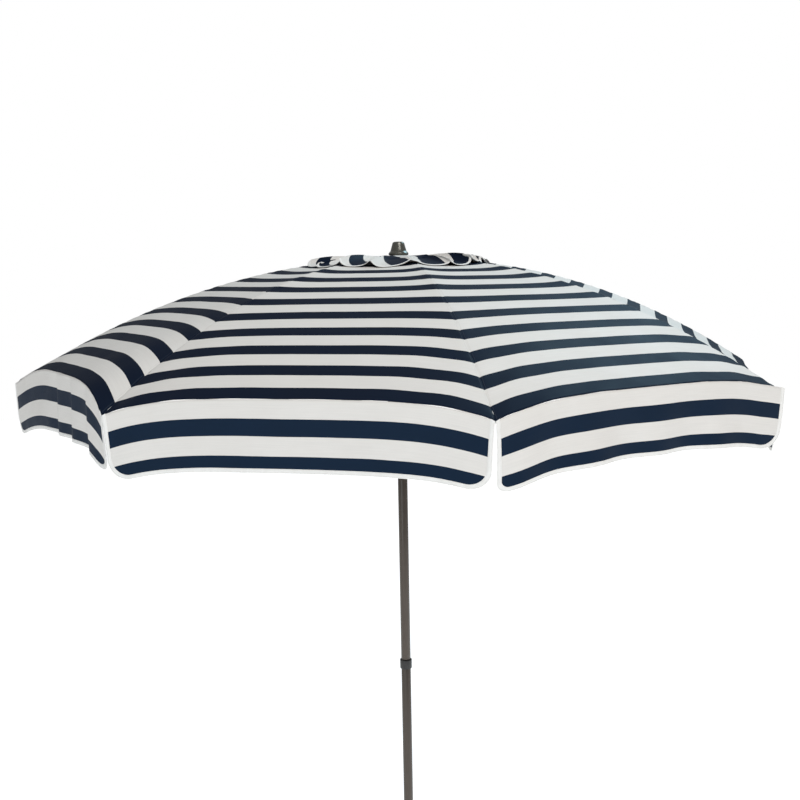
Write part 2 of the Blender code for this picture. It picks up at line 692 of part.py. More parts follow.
def make_socket():
    bore = SOCKET_RADIUS - SOCKET_WALL
    seat = BASE_HEIGHT + GAP
    outline = [
        (0, SOCKET_FLOOR),
        (bore, SOCKET_FLOOR),
        (bore, SOCKET_TOP),
        (SOCKET_RADIUS, SOCKET_TOP),
        (SOCKET_RADIUS, seat + FLANGE_THICKNESS + WELD),
        (SOCKET_RADIUS + WELD, seat + FLANGE_THICKNESS),
        (SOCKET_FLANGE - EDGE / 2, seat + FLANGE_THICKNESS),
        (SOCKET_FLANGE, seat + FLANGE_THICKNESS - EDGE / 2),
        (SOCKET_FLANGE, seat),
        (SOCKET_RADIUS, seat),
        (SOCKET_RADIUS, FLOOR_OF_BASE + EDGE),
        (0, FLOOR_OF_BASE + EDGE),
    ]
    socket = turned("base_socket", outline, "base_iron")
    height = SOCKET_TOP - KNOB_BELOW_TOP
    boss_end = SOCKET_RADIUS + BOSS_LENGTH
    ends = ((bore + GAP, 0, height), (boss_end, 0, height))
    boss = cylinder("screw_boss", BOSS_RADIUS, *ends, None)
    boolean(socket, as_cutter(boss), "UNION")
    screw_hole = cylinder("screw_hole", SCREW_RADIUS + GAP, (0, 0, height), (BASE_LAND, 0, height), None)
    boolean(socket, as_cutter(screw_hole))

    outer = bore - GAP
    inner = POLE_RADIUS + SLIDE_GAP
    lip = SOCKET_TOP + GAP + LINER_LIP
    liner_outline = [
        (LINER_FLANGE - EDGE / 2, lip),
        (LINER_FLANGE, lip - EDGE / 2),
        (LINER_FLANGE, SOCKET_TOP + GAP),
        (outer, SOCKET_TOP + GAP),
        (outer, SOCKET_TOP - LINER_LENGTH),
        (inner, SOCKET_TOP - LINER_LENGTH),
        (inner, lip),
    ]
    liner = turned("base_liner", liner_outline, "dark_plastic", loop=True)
    boolean(liner, screw_hole)
    make_knob(height, boss_end + SLIDE_GAP)


def make_knob(height, start):
    """The clamp knob, turned about the X axis."""
    bm = bmesh.new()
    bmesh.ops.create_cone(
        bm, cap_ends=True, segments=36, radius1=1, radius2=1, depth=KNOB_THICKNESS
    )
    for vert in bm.verts:
        lobe = KNOB_RADIUS + KNOB_LOBE * math.cos(KNOB_LOBES * math.atan2(vert.co.y, vert.co.x))
        vert.co.x *= lobe
        vert.co.y *= lobe
    middle = start + KNOB_THICKNESS / 2
    place = Matrix.Translation((middle, 0, height)) @ Matrix.Rotation(math.pi / 2, 4, "Y")
    bmesh.ops.transform(bm, matrix=place, verts=bm.verts)
    knob = mesh_object("base_knob", bm, "dark_plastic")
    bevel(knob, EDGE, segments=2, angle=60)
    tip = POLE_RADIUS + SLIDE_GAP
    screw = cylinder("knob_screw", SCREW_RADIUS, (tip, 0, height), (middle, 0, height), None)
    boolean(knob, as_cutter(screw), "UNION")


clear_scene()
parts = new_collection("patio_umbrella")
cutters = new_collection("cutters")
cutters.hide_render = True
materials = {
    "canopy_cloth": new_material("canopy_cloth", (0.72, 0.71, 0.69), 0.85, 0.0),
    "bronze_pole": new_material("bronze_pole", (0.075, 0.065, 0.058), 0.38, 0.55),
    "rib_steel": new_material("rib_steel", (0.080, 0.070, 0.062), 0.42, 0.50),
    "hub_plastic": new_material("hub_plastic", (0.045, 0.043, 0.042), 0.50, 0.0),
    "dark_plastic": new_material("dark_plastic", (0.060, 0.060, 0.062), 0.45, 0.0),
    "zinc_steel": new_material("zinc_steel", (0.55, 0.55, 0.56), 0.35, 1.0),
    "base_iron": new_material("base_iron", (0.065, 0.058, 0.052), 0.55, 0.40),
    "rubber": new_material("rubber", (0.020, 0.020, 0.020), 0.80, 0.0),
}
make_ribs()
make_struts()
make_panels()
make_valances()
make_vent_cap()
make_crown()
make_mast()
make_tilt_tongue()
make_tilt_fork()
make_poles()
make_runner()
make_base()
make_socket()
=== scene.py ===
import json
import math

import bmesh
import bpy
from mathutils import Matrix, Vector, noise

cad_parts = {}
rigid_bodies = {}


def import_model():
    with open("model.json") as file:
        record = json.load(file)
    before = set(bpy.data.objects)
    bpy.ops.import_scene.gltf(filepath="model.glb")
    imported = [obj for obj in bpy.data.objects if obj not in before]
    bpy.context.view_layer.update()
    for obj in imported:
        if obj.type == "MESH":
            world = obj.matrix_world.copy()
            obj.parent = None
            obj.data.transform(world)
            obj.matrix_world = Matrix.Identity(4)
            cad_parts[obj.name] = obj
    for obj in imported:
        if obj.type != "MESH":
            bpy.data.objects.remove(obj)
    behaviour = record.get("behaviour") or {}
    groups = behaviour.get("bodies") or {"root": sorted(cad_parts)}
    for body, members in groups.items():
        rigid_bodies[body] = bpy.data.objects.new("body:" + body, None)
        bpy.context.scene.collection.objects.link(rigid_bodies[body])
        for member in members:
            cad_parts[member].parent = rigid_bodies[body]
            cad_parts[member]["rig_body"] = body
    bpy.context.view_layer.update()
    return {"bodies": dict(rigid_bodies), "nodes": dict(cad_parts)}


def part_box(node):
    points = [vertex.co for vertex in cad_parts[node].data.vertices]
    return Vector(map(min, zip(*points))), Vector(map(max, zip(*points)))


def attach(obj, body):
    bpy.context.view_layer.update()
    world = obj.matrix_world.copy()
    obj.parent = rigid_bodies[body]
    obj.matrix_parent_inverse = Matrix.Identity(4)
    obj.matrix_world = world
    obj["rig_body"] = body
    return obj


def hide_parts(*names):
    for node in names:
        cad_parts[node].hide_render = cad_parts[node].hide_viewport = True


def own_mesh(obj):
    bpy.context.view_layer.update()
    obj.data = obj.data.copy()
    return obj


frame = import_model()

ribCount = sum(1 for name in frame["bodies"] if name.startswith("rib_"))
stepAngle = 2 * math.pi / ribCount
halfAngle = stepAngle / 2

canopy = {
    "seamRadius": 1.200,  # mast axis to the outer end of a seam
    "apexHeight": 2.292,  # where the cloth would meet the axis
    "drop": 0.366,  # height lost from there to the seam's end
    "curve": 2.1,
    "ventApothem": 0.170,
    "hemLift": {5: 0.074, 6: 0.042, 7: 0.040, 8: -0.018},  # how far the hem rises between two ribs
    "usualLift": 0.036,
    "edgeShape": {5: (1.8, 6.0), 6: (4.0, 4.0)},  # low and high side; higher stays level for longer
    "usualShape": (3.5, 3.5),
    "midSag": 0.010,
    "rows": 84,
    "columns": 44,
    "cloth": 0.0008,
    "wrinkle": 0.0016,
    "pucker": 0.0009,
    "seamDip": 0.0010,
    "belowLine": 0.0006,  # the visible cloth under the CAD one's middle
    "puckerReach": 0.022,  # how far a pucker runs in from a seam
    "puckerTurns": 165,  # puckers per metre of seam, times 2 pi
    "tipReach": (0.22, 0.20),  # folds from a rib's tip: along the rib, and away from it
    "tipTurns": 46,
    "seamWidth": 0.0035,
    "hemReach": 0.05,
    "foldKeep": 0.10,  # what is left of its width when the umbrella is shut
}
edgeApothem = canopy["seamRadius"] * math.cos(halfAngle)
hemHalf = edgeApothem * math.tan(halfAngle)
stripes = {
    "canopyPeriod": 0.0960,
    "canopyNavy": 0.0445,
    "flapStart": 0.0435,  # first navy stripe below the hem
    "flapPeriod": 0.0848,
    "flapNavy": 0.0400,
    "capPeriod": 0.1040,
    "capNavy": 0.0470,
    "capStart": -0.0735,  # a stripe's edge, from the mast along the cap's middle
    "navy": (12, 18, 33),
    # painted sheen: the flaps' navy is the canopy's navy made lighter and bluer, standing in for the front
    # lamp's gloss on the valance
    "flapBlue": (18, 29, 45),
    "thread": 0.0008,
    "seamRow": 0.0045,  # stitches this far from a seam
}


def say(stage):
    print("patio umbrella:", stage)


def deselectAll():
    if bpy.context.object and bpy.context.object.mode != "OBJECT":
        bpy.ops.object.mode_set(mode="OBJECT")
    bpy.ops.object.select_all(action="DESELECT")


def pickOnly(piece):
    deselectAll()
    piece.select_set(True)
    bpy.context.view_layer.objects.active = piece


def applyModifiers(piece):
    pickOnly(piece)
    for modifier in list(piece.modifiers):
        bpy.ops.object.modifier_apply(modifier=modifier.name)


def smoothByAngle(piece, degrees=35):
    pickOnly(piece)
    bpy.ops.object.shade_smooth_by_angle(angle=math.radians(degrees))


def settle(piece, body, finish, slotName, *nodes):
    piece.data.materials.clear()
    piece.data.materials.append(finish)
    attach(piece, body)
    if nodes:
        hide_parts(*nodes)


def newGroup(name, inputs, outputs):
    group = bpy.data.node_groups.new(name, "ShaderNodeTree")
    for label, kind, value in inputs:
        socket = group.interface.new_socket(label, in_out="INPUT", socket_type=kind)
        if value is not None:
            socket.default_value = value
    for label, kind in outputs:
        group.interface.new_socket(label, in_out="OUTPUT", socket_type=kind)
    return group, group.nodes.new("NodeGroupInput"), group.nodes.new("NodeGroupOutput")


class Board:
    def __init__(self, tree):
        self.tree = tree

    def add(self, kind, **settings):
        node = self.tree.nodes.new(kind)
        for name, value in settings.items():
            setattr(node, name, value)
        return node

    def join(self, source, target):
        self.tree.links.new(source, target)

    def feed(self, socket, value):
        if hasattr(value, "is_output"):
            self.join(value, socket)
        elif value is not None:
            socket.default_value = value

    def sum(self, operation, first, second=None, third=None):
        node = self.add("ShaderNodeMath", operation=operation)
        for socket, value in zip(node.inputs, (first, second, third)):
            self.feed(socket, value)
        return node.outputs[0]

    def ramp(self, value, low, high, start=0.0, end=1.0, smooth=False):
        node = self.add("ShaderNodeMapRange", interpolation_type="SMOOTHSTEP" if smooth else "LINEAR")
        self.feed(node.inputs["Value"], value)
        self.feed(node.inputs["From Min"], low)
        self.feed(node.inputs["From Max"], high)
        self.feed(node.inputs["To Min"], start)
        self.feed(node.inputs["To Max"], end)
        return node.outputs["Result"]

    def mix(self, share, first, second, blend="MIX"):
        node = self.add("ShaderNodeMix", data_type="RGBA", blend_type=blend)
        self.feed(node.inputs["Factor"], share)
        self.feed(node.inputs[6], first)
        self.feed(node.inputs[7], second)
        return node.outputs[2]

    def noise(self, vector, scale, detail=3.0, roughness=0.5):
        node = self.add("ShaderNodeTexNoise")
        self.feed(node.inputs["Vector"], vector)
        for label, given in (("Scale", scale), ("Detail", detail), ("Roughness", roughness)):
            self.feed(node.inputs[label], given)
        return node.outputs["Fac"]


def linear(red, green, blue):
    def bend(value):
        value /= 255
        return value / 12.92 if value <= 0.04045 else ((value + 0.055) / 1.055) ** 2.4
    return (bend(red), bend(green), bend(blue), 1.0)


def makeStripeGroup():
    given = [("Along", "NodeSocketFloat", 0.0), ("Period", "NodeSocketFloat", 0.096),
             ("Band", "NodeSocketFloat", 0.044), ("Start", "NodeSocketFloat", 0.0),
             ("Waver", "NodeSocketFloat", 0.0)]
    group, entry, leave = newGroup("stripeBands", given, [("Mask", "NodeSocketFloat")])
    board = Board(group)
    shifted = board.sum("SUBTRACT", entry.outputs["Along"], entry.outputs["Start"])
    shifted = board.sum("ADD", shifted, entry.outputs["Waver"])
    place = board.sum("FLOORED_MODULO", shifted, entry.outputs["Period"])
    middle = board.sum("MULTIPLY", entry.outputs["Band"], 0.5)
    away = board.sum("ABSOLUTE", board.sum("SUBTRACT", place, middle))
    rest = board.sum("SUBTRACT", middle, away)
    board.join(board.ramp(rest, -0.0004, 0.0004, smooth=True), leave.inputs["Mask"])
    return group


def makeWeaveGroup():
    group, entry, leave = newGroup("plainWeave", [
        ("Cloth", "NodeSocketVector", None), ("Thread", "NodeSocketFloat", 0.0008)],
        [("Height", "NodeSocketFloat"), ("Shade", "NodeSocketFloat")])
    board = Board(group)
    parts = board.add("ShaderNodeSeparateXYZ")
    board.join(entry.outputs["Cloth"], parts.inputs[0])
    turn = board.sum("DIVIDE", math.pi, entry.outputs["Thread"])
    warp = board.sum("SINE", board.sum("MULTIPLY", parts.outputs["X"], turn))
    weft = board.sum("SINE", board.sum("MULTIPLY", parts.outputs["Y"], turn))
    cross = board.sum("MULTIPLY", warp, weft)
    slub = board.noise(entry.outputs["Cloth"], 900.0, 2.0)
    streaks = board.add("ShaderNodeMapping")
    board.join(entry.outputs["Cloth"], streaks.inputs["Vector"])
    streaks.inputs["Scale"].default_value = (9.0, 420.0, 1.0)
    streak = board.noise(streaks.outputs["Vector"], 1.0, 3.0)
    height = board.sum("ADD", board.sum("MULTIPLY", cross, 0.35), board.sum("MULTIPLY", slub, 0.5))
    shade = board.sum("ADD", board.sum("MULTIPLY", cross, 0.05), board.sum("MULTIPLY", streak, 0.16))
    board.join(height, leave.inputs["Height"])
    board.join(board.sum("ADD", shade, 0.90), leave.inputs["Shade"])
    return group


def makeStitchGroup():
    given = [("Along", "NodeSocketFloat", 0.0), ("Across", "NodeSocketFloat", 0.0),
             ("Place", "NodeSocketFloat", 0.0), ("Length", "NodeSocketFloat", 0.0042)]
    group, entry, leave = newGroup("stitchRow", given, [("Mask", "NodeSocketFloat")])
    board = Board(group)
    cycle = board.sum("FLOORED_MODULO", entry.outputs["Along"], entry.outputs["Length"])
    share = board.sum("DIVIDE", cycle, entry.outputs["Length"])
    fromMiddle = board.sum("ABSOLUTE", board.sum("SUBTRACT", share, 0.5))
    inside = board.ramp(fromMiddle, 0.28, 0.40, 1.0, 0.0, smooth=True)
    away = board.sum("ABSOLUTE", board.sum("SUBTRACT", entry.outputs["Across"], entry.outputs["Place"]))
    near = board.ramp(away, 0.0002, 0.0006, 1.0, 0.0, smooth=True)
    board.join(board.sum("MULTIPLY", inside, near), leave.inputs["Mask"])
    return group


def makeWearGroup():
    given = [("Place", "NodeSocketVector", None), ("Size", "NodeSocketFloat", 40.0),
             ("Amount", "NodeSocketFloat", 0.2)]
    group, entry, leave = newGroup("scuffMarks", given, [("Mask", "NodeSocketFloat")])
    board = Board(group)
    patches = board.noise(entry.outputs["Place"], entry.outputs["Size"], 4.0, 0.6)
    stretched = board.add("ShaderNodeMapping")
    board.join(entry.outputs["Place"], stretched.inputs["Vector"])
    stretched.inputs["Scale"].default_value = (900.0, 900.0, 24.0)
    scratches = board.noise(stretched.outputs["Vector"], 1.0, 2.0)
    fine = board.ramp(scratches, 0.66, 0.74, smooth=True)
    broad = board.ramp(patches, 0.55, 0.75, smooth=True)
    marks = board.sum("MULTIPLY", fine, broad)
    board.join(board.sum("MULTIPLY", marks, entry.outputs["Amount"]), leave.inputs["Mask"])
    return group


def makeDustGroup():
    given = [("Place", "NodeSocketVector", None), ("Amount", "NodeSocketFloat", 0.2)]
    group, entry, leave = newGroup("settledDust", given, [("Mask", "NodeSocketFloat")])
    board = Board(group)
    facing = board.add("ShaderNodeNewGeometry")
    parts = board.add("ShaderNodeSeparateXYZ")
    board.join(facing.outputs["Normal"], parts.inputs[0])
    upward = board.ramp(parts.outputs["Z"], 0.2, 1.0, smooth=True)
    cloud = board.ramp(board.noise(entry.outputs["Place"], 18.0, 5.0, 0.65), 0.35, 0.7)
    soil = board.sum("MULTIPLY", upward, cloud)
    board.join(board.sum("MULTIPLY", soil, entry.outputs["Amount"]), leave.inputs["Mask"])
    return group


groups = {
    "stripe": makeStripeGroup(), "weave": makeWeaveGroup(), "stitch": makeStitchGroup(),
    "wear": makeWearGroup(), "dust": makeDustGroup(),
}


def newMaterial(name):
    material = bpy.data.materials.new(name)
    material.use_nodes = True
    material.node_tree.nodes.clear()
    board = Board(material.node_tree)
    shader = board.add("ShaderNodeBsdfPrincipled")
    board.join(shader.outputs[0], board.add("ShaderNodeOutputMaterial").inputs["Surface"])
    return material, board, shader


def placeGroup(board, which, **given):
    node = board.add("ShaderNodeGroup", node_tree=groups[which])
    for label, value in given.items():
        board.feed(node.inputs[label], value)
    return node


def bumpFrom(board, shader, height, strength, distance):
    bump = board.add("ShaderNodeBump")
    board.feed(bump.inputs["Height"], height)
    bump.inputs["Strength"].default_value = strength
    bump.inputs["Distance"].default_value = distance
    board.join(bump.outputs[0], shader.inputs["Normal"])


def clothMaterial(name, period, band, start, navy, seamRow=None):
    look = {"navy": linear(*navy), "navyLight": linear(*(1.3 * part for part in navy)),
            "white": linear(224, 221, 217), "whiteDull": linear(214, 210, 205),
            "thread": linear(120, 120, 124), "stitchSeen": 0.22, "roughness": 0.62}
    material, board, shader = newMaterial(name)
    cloth = board.add("ShaderNodeUVMap", uv_map="cloth").outputs[0]
    parts = board.add("ShaderNodeSeparateXYZ")
    board.join(cloth, parts.inputs[0])
    waver = board.sum("MULTIPLY", board.sum("SUBTRACT", board.noise(cloth, 6.0, 2.0), 0.5), 0.0024)
    band = placeGroup(
        board, "stripe", Along=parts.outputs["Y"], Period=period, Band=band, Start=start, Waver=waver)
    weave = placeGroup(board, "weave", Cloth=cloth, Thread=stripes["thread"])
    mottle = board.noise(cloth, 7.0, 5.0, 0.6)
    navy = board.mix(mottle, look["navy"], look["navyLight"])
    white = board.mix(mottle, look["white"], look["whiteDull"])
    colour = board.mix(band.outputs["Mask"], white, navy)
    shade = board.add("ShaderNodeCombineColor")
    for socket in shade.inputs:
        board.join(weave.outputs["Shade"], socket)
    colour = board.mix(0.8, colour, shade.outputs[0], "MULTIPLY")
    height = board.sum("MULTIPLY", weave.outputs["Height"], 0.4)
    if seamRow:
        along = board.add("ShaderNodeSeparateXYZ")
        board.join(board.add("ShaderNodeUVMap", uv_map="seam").outputs[0], along.inputs[0])
        stitch = placeGroup(
            board, "stitch", Along=along.outputs["X"], Across=along.outputs["Y"], Place=seamRow)
        seen = board.sum("MULTIPLY", stitch.outputs["Mask"], look["stitchSeen"])
        colour = board.mix(seen, colour, look["thread"])
        height = board.sum("ADD", height, board.sum("MULTIPLY", stitch.outputs["Mask"], 0.8))
    board.join(colour, shader.inputs["Base Color"])
    rough = board.ramp(mottle, 0.3, 0.7, look["roughness"] - 0.05, look["roughness"] + 0.05)
    board.join(rough, shader.inputs["Roughness"])
    shader.inputs["Specular IOR Level"].default_value = 0.11
    shader.inputs["Specular Tint"].default_value = (0.40, 0.74, 1.0, 1.0)
    bumpFrom(board, shader, height, 0.35, 0.0004)
    return material


def tapeMaterial():
    look = {"white": linear(238, 237, 235), "shade": linear(222, 220, 216),
            "thread": linear(198, 196, 192), "rows": (0.0018, 0.0078)}
    material, board, shader = newMaterial("bindingTape")
    cloth = board.add("ShaderNodeUVMap", uv_map="cloth").outputs[0]
    parts = board.add("ShaderNodeSeparateXYZ")
    board.join(cloth, parts.inputs[0])
    slant = board.sum("ADD", parts.outputs["X"], parts.outputs["Y"])
    twill = board.sum("SINE", board.sum("MULTIPLY", slant, 2 * math.pi / 0.0009))
    mottle = board.noise(cloth, 60.0, 4.0)
    colour = board.mix(mottle, look["white"], look["shade"])
    height = board.sum("MULTIPLY", twill, 0.25)
    for row in look["rows"]:
        stitch = placeGroup(
            board, "stitch", Along=parts.outputs["X"], Across=parts.outputs["Y"], Place=row, Length=0.0036)
        seen = board.sum("MULTIPLY", stitch.outputs["Mask"], 0.5)
        colour = board.mix(seen, colour, look["thread"])
        height = board.sum("SUBTRACT", height, board.sum("MULTIPLY", stitch.outputs["Mask"], 1.0))
    board.join(colour, shader.inputs["Base Color"])
    shader.inputs["Roughness"].default_value = 0.85
    shader.inputs["Sheen Weight"].default_value = 0.1
    shader.inputs["Specular IOR Level"].default_value = 0.3
    bumpFrom(board, shader, height, 0.4, 0.0003)
    return material


def hardMaterial(name, colour, variant, roughness, metallic, grain, bump, wearColour, wear, dust, coat=0.0):
    material, board, shader = newMaterial(name)
    place = board.add("ShaderNodeTexCoord").outputs["Object"]
    mottle = board.noise(place, 30.0, 4.0, 0.55)
    pebble = board.noise(place, grain, 2.0)
    tint = board.mix(mottle, colour, variant)
    scuff = placeGroup(board, "wear", Place=place, Size=45.0, Amount=wear)
    tint = board.mix(scuff.outputs["Mask"], tint, wearColour)
    soil = placeGroup(board, "dust", Place=place, Amount=dust)
    tint = board.mix(soil.outputs["Mask"], tint, linear(168, 160, 148))
    board.join(tint, shader.inputs["Base Color"])
    rough = board.ramp(mottle, 0.3, 0.7, roughness - 0.06, roughness + 0.06)
    rough = board.sum("ADD", rough, board.sum("MULTIPLY", soil.outputs["Mask"], 0.4))
    board.join(rough, shader.inputs["Roughness"])
    shader.inputs["Metallic"].default_value = metallic
    shader.inputs["Coat Weight"].default_value = coat
    shader.inputs["Coat Roughness"].default_value = 0.25
    bumpFrom(board, shader, board.sum("SUBTRACT", pebble, scuff.outputs["Mask"]), bump, 0.0004)
    return material


finishes = {
    "canopy": clothMaterial(
        "canopyCloth", stripes["canopyPeriod"], stripes["canopyNavy"], 0.0, stripes["navy"],
        seamRow=stripes["seamRow"]),
    # the flaps' navy is a lighter, bluer copy of the canopy navy: painted sheen
    "flap": clothMaterial(
        "flapCloth", stripes["flapPeriod"], stripes["flapNavy"], stripes["flapStart"], stripes["flapBlue"]),
    "cap": clothMaterial(
        "capCloth", stripes["capPeriod"], stripes["capNavy"], stripes["capStart"], stripes["navy"]),
    "tape": tapeMaterial(),
    "bronze": hardMaterial("bronzePaint", linear(70, 62, 56), linear(82, 74, 67), 0.38, 0.55, 2600.0, 0.12,
                           linear(150, 140, 128), 0.5, 0.10, 0.15),
    "ribSteel": hardMaterial("ribPaint", linear(74, 68, 62), linear(88, 81, 74), 0.40, 0.45, 1800.0, 0.10,
                             linear(150, 142, 130), 0.6, 0.12, 0.2),
    "hub": hardMaterial("hubPlastic", linear(38, 38, 40), linear(50, 50, 51), 0.45, 0.0, 2400.0, 0.18,
                        linear(84, 84, 84), 0.35, 0.12),
    "finial": hardMaterial("finialPlastic", linear(78, 77, 70), linear(92, 91, 83), 0.26, 0.45, 2000.0,
                           0.05, linear(140, 135, 126), 0.25, 0.08, 0.4),
    "dark": hardMaterial("darkPlastic", linear(30, 30, 31), linear(40, 40, 41), 0.42, 0.0, 2400.0, 0.16,
                         linear(76, 76, 76), 0.35, 0.14),
    "zinc": hardMaterial("zincSteel", linear(176, 178, 180), linear(150, 152, 155), 0.30, 1.0, 700.0, 0.06,
                         linear(96, 94, 90), 0.5, 0.06),
    "iron": hardMaterial("ironPaint", linear(52, 47, 43), linear(64, 58, 53), 0.52, 0.25, 420.0, 0.35,
                         linear(104, 92, 80), 0.6, 0.22),
    "rubber": hardMaterial("rubberFoot", linear(24, 24, 24), linear(34, 34, 34), 0.82, 0.0, 1500.0, 0.2,
                           linear(60, 60, 60), 0.2, 0.2),
}
say("materials made")


def clothHeight(radius):
    return canopy["apexHeight"] - canopy["drop"] * (radius / canopy["seamRadius"]) ** canopy["curve"]


def panelHeight(number, out, across):
    # out: distance from the axis along the panel's middle; across: -1 to 1 between its seams
    share = out / edgeApothem
    shapes = canopy["edgeShape"].get(number, canopy["usualShape"])
    swell = 1 - min(1.0, abs(across)) ** shapes[0 if across < 0 else 1]
    hemLift = canopy["hemLift"].get(number, canopy["usualLift"])
    lift = hemLift * share ** 3 - canopy["midSag"] * 4 * share * (1 - share)
    return clothHeight(out / math.cos(halfAngle)) + lift * swell


def middleAngle(number):
    return (number - 1) * stepAngle + halfAngle


def panelFrame(number):
    turn = middleAngle(number)
    return Vector((math.cos(turn), math.sin(turn), 0)), Vector((-math.sin(turn), math.cos(turn), 0))


def measureMiddle(samples=200):
    # distance along the cloth from the hem, at mid panel
    start = canopy["ventApothem"]
    table = [0.0]
    last = None
    for index in range(samples + 1):
        out = edgeApothem + (start - edgeApothem) * index / samples
        point = Vector((out, panelHeight(6, out, 0)))
        if last is not None:
            table.append(table[-1] + (point - last).length)
        last = point
    return table


middleTable = measureMiddle()


def fromHem(out):
    place = (edgeApothem - out) / (edgeApothem - canopy["ventApothem"]) * (len(middleTable) - 1)
    index = max(0, min(len(middleTable) - 2, int(place)))
    return middleTable[index] + (middleTable[index + 1] - middleTable[index]) * (place - index)


def clothLift(number, out, across):
    # small shape that the cloth has under tension: folds from the rib tips, seam puckers
    half = out * math.tan(halfAngle)
    fromSeam = (1 - abs(across)) * half
    along = out / math.cos(halfAngle)
    side = 1 if across > 0 else -1
    tremble = noise.noise(Vector((out * 9, across * 3.1, number * 5.7)))
    broad = noise.noise(Vector((out * 3.2 + 7, across * half * 3.2, number * 3.3)))
    waves = math.sin(along * canopy["puckerTurns"] + 2.5 * tremble)
    pucker = canopy["pucker"] * math.exp(-fromSeam / canopy["puckerReach"]) * waves
    down, aside = canopy["tipReach"]
    corner = math.exp(-((edgeApothem - out) / down) ** 2) * math.exp(-(fromSeam / aside) ** 2)
    folds = math.sin((out * 0.75 - side * fromSeam) * canopy["tipTurns"] + side + number)
    pull = 0.8 * canopy["wrinkle"] * corner * folds
    dip = canopy["seamDip"] * math.exp(-(fromSeam / canopy["seamWidth"]) ** 2)
    hem = math.exp(-((edgeApothem - out) / canopy["hemReach"]) ** 2)
    hemRoll = 0.25 * canopy["wrinkle"] * hem * math.sin(across * half * 38 + number * 2)
    fade = min(1.0, fromSeam / 0.03)
    return pucker + pull * fade - dip + canopy["wrinkle"] * broad * fade + hemRoll * fade


def panelPoint(number, out, across, lift):
    outward, sideways = panelFrame(number)
    half = out * math.tan(halfAngle)
    height = panelHeight(number, out, across) + lift - canopy["belowLine"]
    return outward * out + sideways * (across * half) + Vector((0, 0, height))


def gridMesh(name, grid, wrap=False):
    mesh = bpy.data.meshes.new(name)
    rows, columns = len(grid), len(grid[0])
    faces = []
    for row in range(rows - 1):
        for column in range(columns - 1):
            first = row * columns + column
            faces.append((first, first + 1, first + columns + 1, first + columns))
        if wrap:
            last = row * columns + columns - 1
            faces.append((last, row * columns, (row + 1) * columns, last + columns))
    mesh.from_pydata([point for line in grid for point in line], [], faces)
    piece = bpy.data.objects.new(name, mesh)
    bpy.context.scene.collection.objects.link(piece)
    return piece


def paintUv(piece, layerName, values):
    layer = piece.data.uv_layers.new(name=layerName)
    for loop in piece.data.loops:
        layer.data[loop.index].uv = values[loop.vertex_index]


def faceUpward(piece, wanted):
    total = Vector()
    for face in piece.data.polygons:
        total += face.normal * face.area
    if total.dot(wanted) < 0:
        piece.data.flip_normals()


def giveThickness(piece, thickness):
    wall = piece.modifiers.new("wall", "SOLIDIFY")
    wall.thickness = thickness
    wall.offset = 0.0
    wall.use_even_offset = False
    applyModifiers(piece)
    pickOnly(piece)
    bpy.ops.object.shade_smooth()


def clothArea(grid):
    # of the cloth as it hangs, folds and all, not of its cutting pattern
    total = 0.0
    for row in range(len(grid) - 1):
        for column in range(len(grid[0]) - 1):
            a, b = Vector(grid[row][column]), Vector(grid[row][column + 1])
            c, d = Vector(grid[row + 1][column + 1]), Vector(grid[row + 1][column])
            total += ((c - a).cross(d - b)).length / 2
    return total


def foldWith(piece):
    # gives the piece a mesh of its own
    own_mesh(piece)


def makePanel(number):
    rows, columns = canopy["rows"], canopy["columns"]
    grid, clothUv, seamUv = [], [], []
    for row in range(rows + 1):
        share = row / rows
        out = canopy["ventApothem"] + (edgeApothem - canopy["ventApothem"]) * (1 - (1 - share) ** 1.15)
        half = out * math.tan(halfAngle)
        line = []
        for column in range(columns + 1):
            across = math.sin(math.pi / 2 * (2 * column / columns - 1))
            line.append(panelPoint(number, out, across, clothLift(number, out, across)))
            clothUv.append((across * half, fromHem(out)))
            seamUv.append((out / math.cos(halfAngle), (1 - abs(across)) * half))
        grid.append(line)
    piece = gridMesh(f"canopyPanel{number}", grid)
    paintUv(piece, "cloth", clothUv)
    paintUv(piece, "seam", seamUv)
    faceUpward(piece, Vector((0, 0, 1)))
    giveThickness(piece, canopy["cloth"])
    settle(piece, f"panel_{number}", finishes["canopy"], "canopy_cloth", f"canopy_panel_{number}")
    foldWith(piece)


for number in range(1, ribCount + 1):
    makePanel(number)
say("canopy panels stretched over the ribs")


flap = {
    "height": 0.166,
    "cornerRadius": {5: (0.084, 0.046), 6: (0.060, 0.056), 7: (0.026, 0.056)},  # at the low and high side
    "usualCorner": (0.046, 0.050),
    "slitGap": 0.0016,
    "sideTaper": 0.012,  # each side draws in by this at the bottom
    "setBack": 0.0002,  # behind the hem's edge
    "swing": {7: 0.011},
    "usualSwing": 0.0075,
    "overhang": {5: (0.012, 0.0), 7: (0.0, 0.026), 8: (0.0, 0.006)},  # past the tips, low and high side
    "curl": 0.010,  # both ends turn in by this at the bottom
    "pleated": 5,  # the flap that falls in pleats towards its high side
    "pleats": 3.36,
    "pleatShift": 0.453,
    "pleatSlow": 0.82,  # share of a pleat in which it goes in; it steps out in the rest
    "pleatDepth": 0.012,
    "waved": 7,  # the flap with even waves and a turned-in end
    "waveDepth": 0.007,
    "endCurl": 0.012,
    "cutSpare": 1.03,  # the strip it is cut from is larger than the cloth by this
    "foldKeep": 0.068,
    "rows": 26,
    "columns": 110,
    "cloth": 0.0008,
    "tapeWidth": 0.0095,
    "tapeHalf": 0.0010,
}


def flapHalf(depth):
    share = max(0.0, depth) / flap["height"]
    return hemHalf - flap["slitGap"] - flap["sideTaper"] * share ** 0.8


def flapBottom(number, across):
    corners = flap["cornerRadius"].get(number, flap["usualCorner"])
    corner = corners[0] if across < 0 else corners[1]
    inside = abs(across) * hemHalf - (hemHalf - corner)
    if inside <= 0:
        return flap["height"]
    return flap["height"] - corner + math.sqrt(max(0.0, corner * corner - inside * inside))


